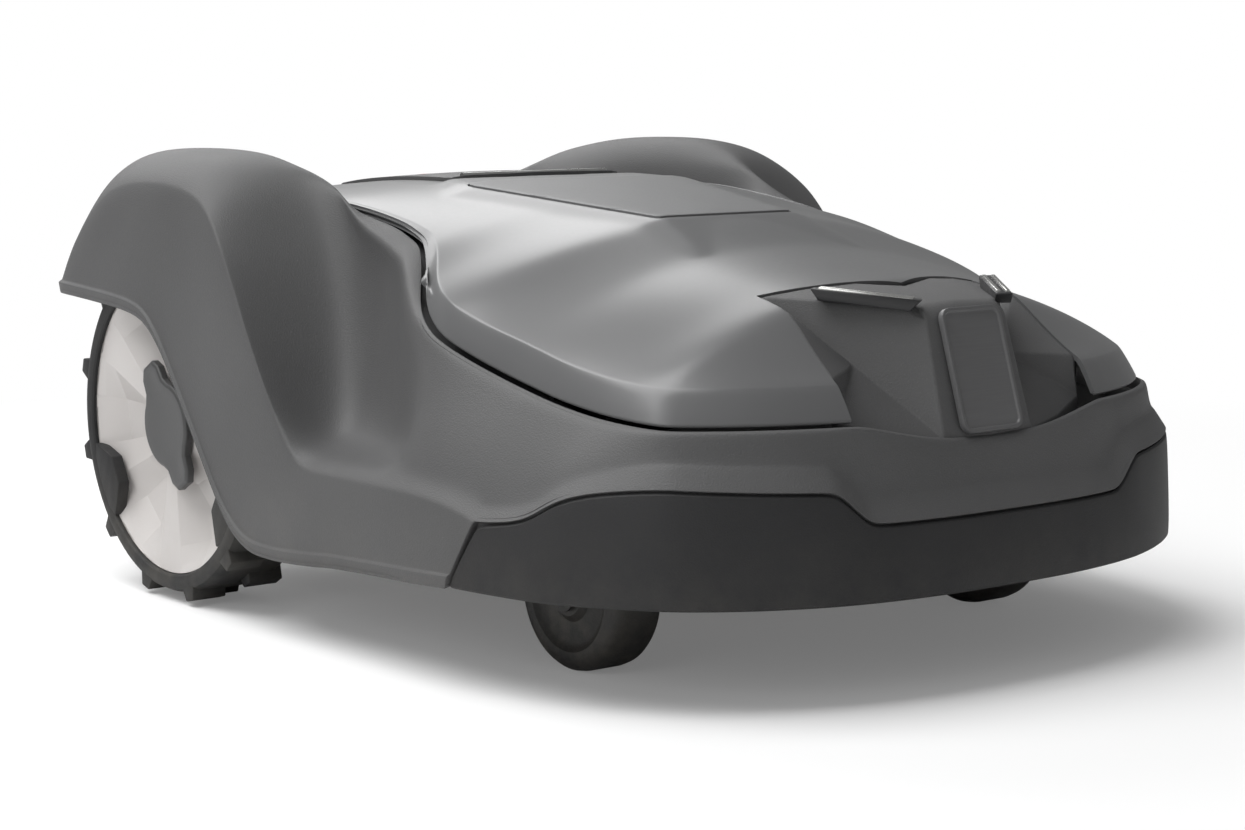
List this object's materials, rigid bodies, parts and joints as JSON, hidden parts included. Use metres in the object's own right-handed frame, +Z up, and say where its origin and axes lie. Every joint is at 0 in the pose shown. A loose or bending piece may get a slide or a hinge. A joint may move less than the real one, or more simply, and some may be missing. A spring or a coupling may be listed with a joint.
{
  "type": "robotic lawn mower",
  "caption": "Robotic lawn mower with a floating shell, driven rear wheels, swivelling front casters, a hatch over the controls and a height-adjustable cutting disc with pivoting blades",
  "frame": {"origin": "on the ground, below the centre of the bounding box", "axes": "+X to the mower's own left, +Y to the rear, +Z up; the nose faces -Y"},
  "size_m": [0.56, 0.7191, 0.31],
  "materials": {
    "shell": "fine grained dark grey",
    "bumper": "matt black",
    "cover": "satin metallic grey",
    "panel": "satin dark grey, bare",
    "badge": "satin dark grey, bare",
    "holder": "black",
    "contact": "bright plated",
    "hatch": "grained dark grey",
    "stop": "red",
    "steel": "ground steel",
    "post": "black",
    "boot": "black rubber",
    "chassis": "black moulding",
    "screw": "zinc plated",
    "console": "black",
    "lens": "smoked",
    "dial": "soft dark grey",
    "power": "green",
    "board": "green lacquer",
    "battery": "dark blue sleeve",
    "motor": "grey",
    "tyre": "matt black rubber",
    "disc": "warm white",
    "cap": "dark grey",
    "arm": "black",
    "roller": "matt black",
    "housing": "black",
    "cutdisc": "orange",
    "blade": "ground edge",
    "skid": "black"
  },
  "bodies": {
    "chassis": {"chassis_tub": "chassis", "chassis_gasket": "boot", "chassis_lid": "chassis", "chassis_screws": "screw", "suspension_boots": "boot", "console_panel": "console", "display_lens": "lens", "main_board": "board", "battery_pack": "battery", "battery_cover": "chassis", "battery_cover_screws": "screw", "drive_motor_left": "motor", "drive_motor_right": "motor", "height_motor": "motor"},
    "shell": {"body_shell": "shell", "wheel_arch_left": "shell", "wheel_arch_right": "shell", "nose_block": "shell", "front_bumper": "bumper", "top_cover": "cover", "top_panel": "panel", "nose_plate": "badge", "contact_holder_left": "holder", "contact_holder_right": "holder", "contact_strip_left": "contact", "contact_strip_right": "contact", "hatch_hinge_pin": "steel", "suspension_posts": "post"},
    "hatch": {"hatch_lid": "hatch"},
    "stop": {"stop_button": "stop"},
    "dial": {"control_dial": "dial"},
    "power": {"power_button": "power"},
    "drive_wheel_left": {"drive_axle_left": "steel", "tyre_left": "tyre", "wheel_disc_left": "disc", "hub_cap_left": "cap"},
    "drive_wheel_right": {"drive_axle_right": "steel", "tyre_right": "tyre", "wheel_disc_right": "disc", "hub_cap_right": "cap"},
    "caster_left": {"caster_arm_left": "arm", "caster_axle_left": "arm"},
    "caster_right": {"caster_arm_right": "arm", "caster_axle_right": "arm"},
    "roller_left": {"caster_wheel_left": "roller"},
    "roller_right": {"caster_wheel_right": "roller"},
    "cutting_unit": {"cutting_housing": "housing", "cutting_motor": "motor"},
    "cutter": {"cutter_shaft": "steel", "cutting_disc": "cutdisc", "blade_screws": "screw", "skid_screw": "screw"},
    "blade_1": {"blade_1": "blade"},
    "blade_2": {"blade_2": "blade"},
    "blade_3": {"blade_3": "blade"},
    "skid": {"skid_plate": "skid"},
    "spindle": {"height_spindle": "steel"}
  },
  "joints": [
    {"name": "shell_bump", "type": "slide", "parent": "chassis", "child": "shell", "axis": [0, 1, 0], "range_m": [-0.006, 0.006], "stiffness_N_per_m": 3000},
    {"name": "hatch_open", "type": "hinge", "parent": "shell", "child": "hatch", "pos_m": [0, 0.119, 0.28905], "axis": [1, 0, 0], "range_deg": [0, 95]},
    {"name": "stop_press", "type": "slide", "parent": "hatch", "child": "stop", "axis": [0, 0, 1], "range_m": [-0.004, 0], "stiffness_N_per_m": 400, "springref_m": 0.004},
    {"name": "dial_turn", "type": "hinge", "parent": "chassis", "child": "dial", "pos_m": [-0.014, 0.224, 0.25], "axis": [0, 0, 1], "continuous": true},
    {"name": "power_press", "type": "slide", "parent": "chassis", "child": "power", "axis": [0, 0, 1], "range_m": [-0.003, 0], "stiffness_N_per_m": 300, "springref_m": 0.003},
    {"name": "drive_left_turn", "type": "hinge", "parent": "chassis", "child": "drive_wheel_left", "pos_m": [0.24, 0.183, 0.122], "axis": [1, 0, 0], "continuous": true},
    {"name": "caster_left_swivel", "type": "hinge", "parent": "chassis", "child": "caster_left", "pos_m": [0.168, -0.19, 0.13], "axis": [0, 0, 1], "continuous": true},
    {"name": "roller_left_turn", "type": "hinge", "parent": "caster_left", "child": "roller_left", "pos_m": [0.168, -0.165, 0.05], "axis": [1, 0, 0], "continuous": true},
    {"name": "drive_right_turn", "type": "hinge", "parent": "chassis", "child": "drive_wheel_right", "pos_m": [-0.24, 0.183, 0.122], "axis": [1, 0, 0], "continuous": true},
    {"name": "caster_right_swivel", "type": "hinge", "parent": "chassis", "child": "caster_right", "pos_m": [-0.168, -0.19, 0.13], "axis": [0, 0, 1], "continuous": true},
    {"name": "roller_right_turn", "type": "hinge", "parent": "caster_right", "child": "roller_right", "pos_m": [-0.168, -0.165, 0.05], "axis": [1, 0, 0], "continuous": true},
    {"name": "cutting_height", "type": "slide", "parent": "chassis", "child": "cutting_unit", "axis": [0, 0, 1], "range_m": [-0.03, 0]},
    {"name": "spindle_turn", "type": "hinge", "parent": "chassis", "child": "spindle", "pos_m": [0, 0.062, 0.13], "axis": [0, 0, 1], "range_deg": [-2160, 0]},
    {"name": "cutter_spin", "type": "hinge", "parent": "cutting_unit", "child": "cutter", "pos_m": [0, 0, 0.064], "axis": [0, 0, 1], "continuous": true},
    {"name": "blade_1_swing", "type": "hinge", "parent": "cutter", "child": "blade_1", "pos_m": [0, 0.092, 0.0596], "axis": [0, 0, 1], "continuous": true},
    {"name": "blade_2_swing", "type": "hinge", "parent": "cutter", "child": "blade_2", "pos_m": [-0.07967, -0.046, 0.0596], "axis": [0, 0, 1], "continuous": true},
    {"name": "blade_3_swing", "type": "hinge", "parent": "cutter", "child": "blade_3", "pos_m": [0.07967, -0.046, 0.0596], "axis": [0, 0, 1], "continuous": true},
    {"name": "skid_turn", "type": "hinge", "parent": "cutter", "child": "skid", "pos_m": [0, 0, 0.049], "axis": [0, 0, 1], "continuous": true}
  ],
  "couplings": [
    {"joint": "spindle_turn", "follows": "cutting_height", "rad_per_m": 1256.6}
  ]
}
